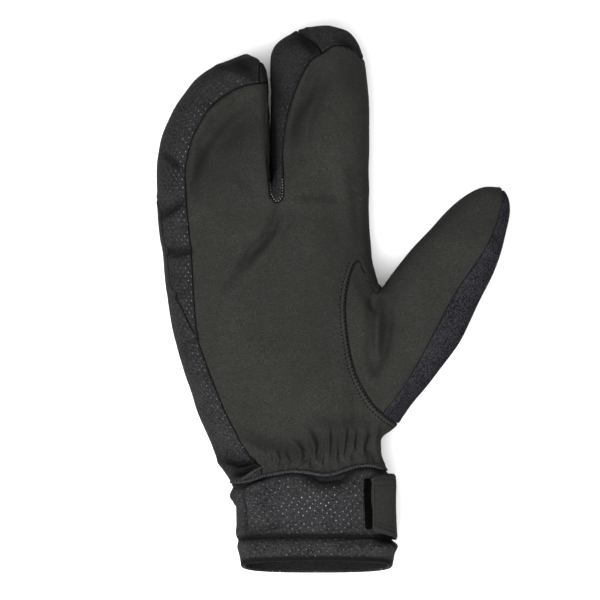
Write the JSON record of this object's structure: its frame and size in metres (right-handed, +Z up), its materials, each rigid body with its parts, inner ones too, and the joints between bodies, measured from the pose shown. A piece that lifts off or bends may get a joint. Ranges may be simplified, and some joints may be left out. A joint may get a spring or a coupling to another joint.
{
  "type": "lobster claw mitt",
  "caption": "Padded winter mitt with split finger lobes and a thumb, suede palm, gathered wrist and an open cuff with a wrap-round closure tab.",
  "frame": {"origin": "on the surface that the glove lies on, on the flat of its back under the middle of the palm", "axes": "+Z up out of the palm, +Y towards the fingertips, +X towards the thumb"},
  "size_m": [0.1765, 0.2725, 0.0414],
  "materials": {
    "palm_suede": "synthetic suede, matt",
    "softshell": "softshell with a fine pattern of light dots",
    "brushed_knit": "brushed knit, matt",
    "seam_binding": "rolled seam",
    "loop_pile": "loop pile"
  },
  "bodies": {
    "root": {"palm_panel": "palm_suede", "thumb_front": "palm_suede", "closure_tab": "palm_suede", "back_panel": "softshell", "outer_gusset": "softshell", "split_gusset": "softshell", "index_gusset": "softshell", "cuff": "softshell", "thumb_back": "brushed_knit", "cuff_seam": "seam_binding", "loop_patch": "loop_pile"}
  },
  "joints": []
}
